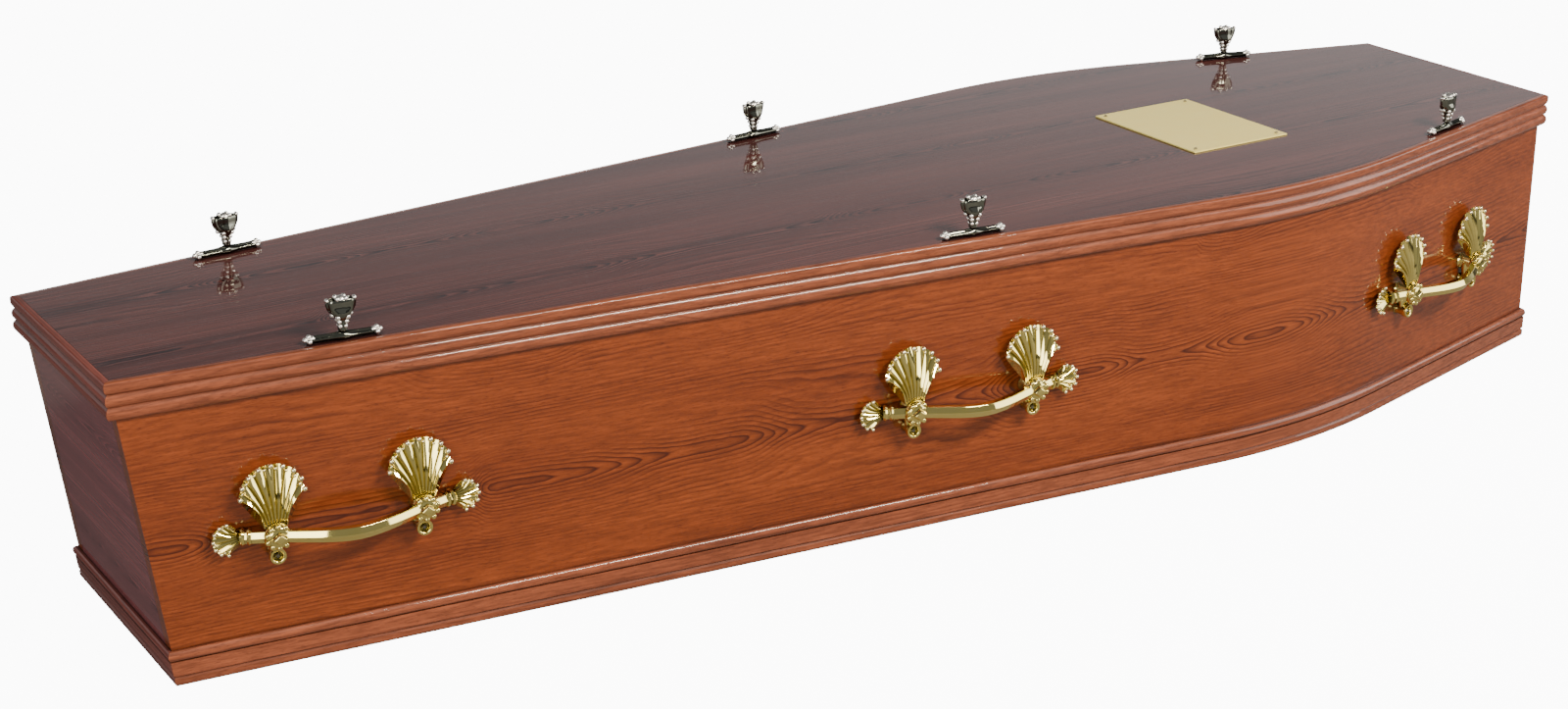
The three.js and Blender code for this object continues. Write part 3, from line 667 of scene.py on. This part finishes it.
print("the bar's middle stands out by", MIDDLE_OUT, "m and its collars by", COLLAR_OUT, "m")

# %% [markdown]
# A boss carries the bar on a stem, with a ring of polished beads and a faceted lozenge on its face.
# Below it hangs a cup that takes a screw. A ringed collar meets each small shell at the end of the bar.

# %% Boss, cup and collar
TO_FRONT = Matrix.Rotation(math.pi / 2, 4, "X")
BOSS_BEADS, BOSS_BEAD = 10, 0.0032
CUP_DROP, WEB_BACK = 0.0235, 0.0085
STEM = [(0, GAP), (0.010, GAP), (0.0085, 0.004), (0.0075, 0.019), (0, 0.019)]
BODY = [(0, 0.017), (0.0120, 0.0175), (0.0140, 0.0215), (0.0125, 0.0255), (0.009, 0.0285), (0, 0.0285)]
CUP = [(0, GAP), (0.007, GAP), (0.0062, 0.004), (0.0072, 0.009), (0.0083, 0.013), (0.0088, 0.0165),
       (0.0082, 0.018), (0.0066, 0.0182), (0.0052, 0.0172), (0.0050, 0.013), (0, 0.013)]
WEB = [(0, 0), (0.0085, 0), (0.0092, 0.004), (0.0078, 0.012), (0.0062, 0.019), (0.005, CUP_DROP),
       (0, CUP_DROP)]
# Each ring of a collar: how far it sits in from the bar's end, its radius and its bulge
COLLAR_RINGS = ((0.0, 0.0092, 0.0024), (0.0075, 0.0088, 0.0020))
# The last quarter of the bar's curve is about this long
LAST_QUARTER = 0.036


def boss_forms(x):
    lozenge = bmesh.new()
    bmesh.ops.create_cone(lozenge, segments=4, radius1=0.0100, radius2=0.0060, depth=0.007, cap_ends=True)
    bmesh.ops.scale(lozenge, vec=(1.1, 0.82, 1), verts=lozenge.verts)
    bmesh.ops.bevel(lozenge, geom=lozenge.edges[:], offset=0.0008, segments=2, profile=0.5, affect="EDGES",
                    material=-1)
    bmesh.ops.translate(lozenge, vec=(0, 0, 0.0300), verts=lozenge.verts)
    cup = turned(CUP, 24)
    bmesh.ops.translate(cup, vec=(0, -CUP_DROP, 0), verts=cup.verts)
    web = turned(WEB, 20)
    bmesh.ops.scale(web, vec=(1, 0.75, 1), verts=web.verts)
    bmesh.ops.rotate(web, matrix=Matrix.Rotation(math.pi / 2, 3, "X"), verts=web.verts)
    bmesh.ops.translate(web, vec=(0, 0, WEB_BACK), verts=web.verts)
    forms = [turned(STEM, 20), turned(BODY, 24), lozenge, cup, web]
    for index in range(BOSS_BEADS):
        angle = math.tau * (index + 0.5) / BOSS_BEADS
        spot = (math.cos(angle) * 0.0118, math.sin(angle) * 0.0112, 0.0262)
        forms.append(bead(spot, BOSS_BEAD, (1, 1, 0.8), satin=0.0))
    return [placed(placed(form, TO_FRONT), Matrix.Translation((x, 0, 0))) for form in forms]


def collar_forms(end):
    forms = []
    for inset, radius, bulge in COLLAR_RINGS:
        edge = radius - bulge * 0.6
        ring = turned([(0.003, -bulge), (edge, -bulge), (radius, 0), (edge, bulge), (0.003, bulge)], 20)
        lean = bar_centre(0.985) - bar_centre(0.955)
        turn = Vector((0, 0, 1)).rotation_difference(Vector((end * lean.x, lean.y, 0))).to_matrix().to_4x4()
        centre = bar_centre(1 - inset / LAST_QUARTER / 4)
        forms.append(placed(ring, Matrix.Translation((end * centre.x, centre.y, centre.z)) @ turn))
    return forms


print("beads round a boss:", BOSS_BEADS, "and rings in a collar:", len(COLLAR_RINGS))

# %% Handles
HANDLE_HEIGHT, SHARP_HANDLE = 0.148, 55
# Along the side: the foot handle and the middle one from the foot corner, the head one from the head corner
HANDLE_PLACES = (0.218, 0.929, 0.245)


def handle_form():
    forms = [bar_form()]
    for end in (-1, 1):
        forms.append(placed(shell_form(**LARGE_SHELL), Matrix.Translation((end * HALF_BOSS, 0, 0))))
        turn = Matrix.Rotation(end * math.pi / 2, 4, "Y")
        forms.append(placed(shell_form(**SMALL_SHELL), Matrix.Translation((end * HALF_COLLAR, 0, 0)) @ turn))
        forms += boss_forms(end * HALF_BOSS)
        forms += collar_forms(end)
    return together(forms)


def side_places(from_foot, middle_from_foot, from_head, outward):
    return (("foot", foot_corner + foot_along * from_foot + foot_out * outward, foot_along),
            ("middle", foot_corner + foot_along * middle_from_foot + foot_out * outward, foot_along),
            ("head", head_corner - head_along * from_head + head_out * outward, head_along))


def side_matrix(spot, along, side, height):
    turn = math.atan2(along.y, along.x)
    turn = turn + math.pi if side > 0 else -turn
    return Matrix.Translation((spot.x, side * spot.y, height)) @ Matrix.Rotation(turn, 4, "Z")


handle = handle_form()
for side_word, side in SIDES:
    for word, spot, along in side_places(*HANDLE_PLACES, 0):
        copy = placed(handle.copy(), side_matrix(spot, along, side, HANDLE_HEIGHT))
        made = piece(f"handle_{side_word}_{word}_fine", copy, brass)
        sharpened(made, SHARP_HANDLE)
        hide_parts(f"handle_{side_word}_{word}")
print("faces in a handle:", len(handle.faces))
handle.free()
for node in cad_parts:
    if node.startswith("handle_screw"):
        finish(node, steel)

# %% [markdown]
# A lid screw holds a wreath: a ridged bar that lies on the lid with a trefoil of balls at each end,
# and a flattened tulip above it with a row of beads along its lip. They are nickel plated castings.

# %% Lid screws
SCREW_BAR_HALF, SCREW_BAR_RADIUS, KNOB_ABOVE_BAR, SHARP_SCREW = 0.0405, 0.0036, 0.0054, 60
SCREW_PLACES = (0.230, 0.937, 0.222)
KNOB_STEPS = 56
# The knob is round at its foot, and over this height it flattens to this share of its width
FLAT_FROM, FLAT_OVER, FLAT_DEPTH, FLUTE = 0.013, 0.012, 0.44, 0.10
KNOB = [(0, 0), (0.0044, 0), (0.0048, 0.0015), (0.0040, 0.0045), (0.0050, 0.007), (0.0046, 0.0095),
        (0.0066, 0.0125), (0.0078, 0.0145), (0.0096, 0.0165), (0.0126, 0.0195), (0.0146, 0.023),
        (0.0156, 0.027), (0.0157, 0.0295), (0.0150, 0.0318), (0.0140, 0.0322), (0.0132, 0.0312),
        (0.0118, 0.0295), (0.006, 0.0285), (0, 0.0285)]


def screw_bar_form():
    half, radius = SCREW_BAR_HALF, SCREW_BAR_RADIUS

    def place(u, v):
        angle = math.tau * v
        reach = (2 * u - 1) * (half - 0.006)
        hub = math.exp(-(reach / 0.0075) ** 2)
        ridge = 1 + 0.2 * math.cos(4 * angle) * (1 - hub)
        across = radius * (1.0 + 0.5 * hub) * ridge
        rise = radius * (0.95 + 0.5 * hub) * ridge
        return Vector((reach, math.cos(angle) * across, max(math.sin(angle) * rise, -radius)))
    forms = [lattice(40, 24, place)]
    for end in (-1, 1):
        middle = half - 0.0062
        forms.append(bead((end * (middle + 0.0034), 0, 0.0006), 0.0029))
        forms.append(bead((end * (middle - 0.0034), 0, 0.0010), 0.0034))
        for side in (-1, 1):
            forms.append(bead((end * middle, side * 0.0031, -0.0006), 0.0029))
        forms.append(bead((end * middle, 0, 0.0032), 0.0027))
    return together(forms)


def knob_form():
    def place(u, v):
        radius, height = KNOB[round(v * (len(KNOB) - 1))]
        angle = math.tau * round(u * KNOB_STEPS) / KNOB_STEPS
        share = min(max((height - FLAT_FROM) / FLAT_OVER, 0), 1)
        share = share * share * (3 - 2 * share)
        flute = 1 - FLUTE * share * (1 - abs(math.sin(4 * angle + math.pi / 2)))
        depth = 1 + (FLAT_DEPTH - 1) * share
        return Vector((math.cos(angle) * radius * flute, math.sin(angle) * radius * flute * depth, height))
    forms = [lattice(KNOB_STEPS, len(KNOB) - 1, place)]
    lip = ((-0.0138, 0.0010, 0.0021, 0.0318), (-0.0042, 0.0040, 0.0026, 0.0330),
           (0.0042, 0.0040, 0.0026, 0.0330), (0.0138, 0.0010, 0.0021, 0.0318))
    for side in (-1, 1):
        for x, reach, radius, height in lip:
            forms.append(bead((x, side * reach, height), radius))
    forms.append(bead((0, 0, 0.0305), 0.0055))
    stem_rows = ((0.0045, 0.0038, 0.0022), (0.0095, 0.0050, 0.0024), (0.0145, 0.0070, 0.0027))
    for height, reach, radius in stem_rows:
        for quarter in range(4):
            angle = math.radians(45 + 90 * quarter)
            forms.append(bead((math.cos(angle) * reach, math.sin(angle) * reach, height), radius))
    for side in (-1, 1):
        forms.append(bead((side * 0.0092, 0, 0.0160), 0.0025))
    return together(forms)


screw_bar, knob = screw_bar_form(), knob_form()
for side_word, side in SIDES:
    for word, spot, along in side_places(*SCREW_PLACES, -BOARD / 2):
        knob_rise = SCREW_BAR_RADIUS + KNOB_ABOVE_BAR + GAP
        for kind, form, rise in (("bar", screw_bar, SCREW_BAR_RADIUS), ("knob", knob, knob_rise)):
            copy = placed(form.copy(), side_matrix(spot, along, side, LID_TOP + GAP + rise))
            made = piece(f"lid_screw_{kind}_{side_word}_{word}_fine", copy, nickel)
            sharpened(made, SHARP_SCREW)
            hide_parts(f"lid_screw_{kind}_{side_word}_{word}")
print("faces in a lid screw:", len(screw_bar.faces) + len(knob.faces))
screw_bar.free()
knob.free()

# %% [markdown]
# The nameplate stays bare. Its sheet keeps the solid's form and only its finish changes.

# %% Nameplate
plate_nodes = [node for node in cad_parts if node.startswith("nameplate")]
for node in plate_nodes:
    finish(node, pin_metal if "pin" in node else plate_metal)
print("nameplate and pins:", len(plate_nodes))

# %% [markdown]
# The room is a wide pale floor and three softboxes. A long one in front draws the thin bright lines on the
# mouldings, and one to each side lights the panels and shows in the castings. The sky is pale only low behind
# the coffin, which leaves dark parts for the polished castings to mirror. The floor glows for the camera's
# own rays alone, so that it looks white without lighting the lacquer from below.

# %% Floor and lights
FLOOR_GREY, FLOOR_GLOW, FLOOR_BELOW = 0.24, 11.0, 0.0005


def pale_floor():
    material = bpy.data.materials.new("pale_floor")
    material.use_nodes = True
    tree = material.node_tree
    shader = tree.nodes["Principled BSDF"]
    shader.inputs["Base Color"].default_value = (FLOOR_GREY, FLOOR_GREY, FLOOR_GREY, 1)
    shader.inputs["Roughness"].default_value = 1.0
    shader.inputs["Specular IOR Level"].default_value = 0.0
    seen = joined(tree, "ShaderNodeLightPath").outputs["Is Camera Ray"]
    shader.inputs["Emission Color"].default_value = (1, 1, 1, 1)
    tree.links.new(math_node(tree, "MULTIPLY", seen, FLOOR_GLOW), shader.inputs["Emission Strength"])
    return material


floor_form = bmesh.new()
bmesh.ops.create_grid(floor_form, x_segments=1, y_segments=1, size=20)
floor_mesh = bpy.data.meshes.new("floor")
floor_form.to_mesh(floor_mesh)
floor_form.free()
floor_mesh.materials.append(pale_floor())
floor = bpy.data.objects.new("floor", floor_mesh)
floor.location.z = -FLOOR_BELOW
bpy.context.scene.collection.objects.link(floor)


def softbox(name, spot, aim, width, height, power, colour):
    light = bpy.data.lights.new(name, "AREA")
    light.shape = "RECTANGLE"
    light.size, light.size_y, light.energy, light.color = width, height, power, colour
    lamp = bpy.data.objects.new(name, light)
    lamp.location = spot
    lamp.rotation_euler = (Vector(aim) - Vector(spot)).to_track_quat("-Z", "Y").to_euler()
    bpy.context.scene.collection.objects.link(lamp)


WARM, NEARLY_WHITE = (1.0, 0.90, 0.76), (1.0, 0.97, 0.93)
softbox("strip", (0.62, -2.28, 2.24), (-0.3, -0.2, 0.3), 1.30, 0.28, 120, WARM)
softbox("left_panel", (-2.5, -2.4, 1.4), (-0.1, -0.1, 0.3), 1.5, 2.5, 78, NEARLY_WHITE)
softbox("right_panel", (4.0, -2.8, 1.7), (0.1, -0.1, 0.3), 3.4, 3.2, 132, NEARLY_WHITE)

world = bpy.data.worlds.new("room")
bpy.context.scene.world = world
world.use_nodes = True
tree = world.node_tree
toward = joined(tree, "ShaderNodeSeparateXYZ", {0: joined(tree, "ShaderNodeTexCoord").outputs["Generated"]})
low = ranged(tree, toward.outputs[2], 0.19, 0.40, 1.0, 0.14, interpolation_type="SMOOTHSTEP")
behind = ranged(tree, toward.outputs[1], -0.2, 0.35, 0.09, 0.9, interpolation_type="SMOOTHSTEP")
front = ranged(tree, toward.outputs[1], -0.35, 0.1, 0.22, 0.0, interpolation_type="SMOOTHSTEP")
background = tree.nodes["Background"]
background.inputs["Color"].default_value = (1, 1, 1, 1)
tree.links.new(math_node(tree, "MULTIPLY_ADD", low, behind, front), background.inputs["Strength"])

# %% [markdown]
# The camera was solved from the straight edges in the photo.

# %% Camera
# The photo's width and the focal length are in its pixels, the sensor's width is in millimetres
PHOTO_WIDTH, FOCAL_LENGTH, SENSOR_WIDTH = 1600, 2692.82, 36.0
CAMERA_SPOT = (-1.61635, -2.43642, 1.22736)

camera_data = bpy.data.cameras.new("camera")
camera_data.sensor_width = SENSOR_WIDTH
camera_data.lens = FOCAL_LENGTH / PHOTO_WIDTH * SENSOR_WIDTH
camera_data.clip_end = 100
camera = bpy.data.objects.new("camera", camera_data)
right = Vector((0.84881, -0.52866, -0.00649))
down = Vector((-0.19293, -0.29829, -0.93477))
forward = Vector((0.49224, 0.79469, -0.35519))
turn = Matrix((right, -down, -forward)).transposed()
camera.matrix_world = Matrix.Translation(CAMERA_SPOT) @ turn.to_4x4()
bpy.context.scene.collection.objects.link(camera)
bpy.context.scene.camera = camera
print("lens in millimetres:", round(camera_data.lens, 1))
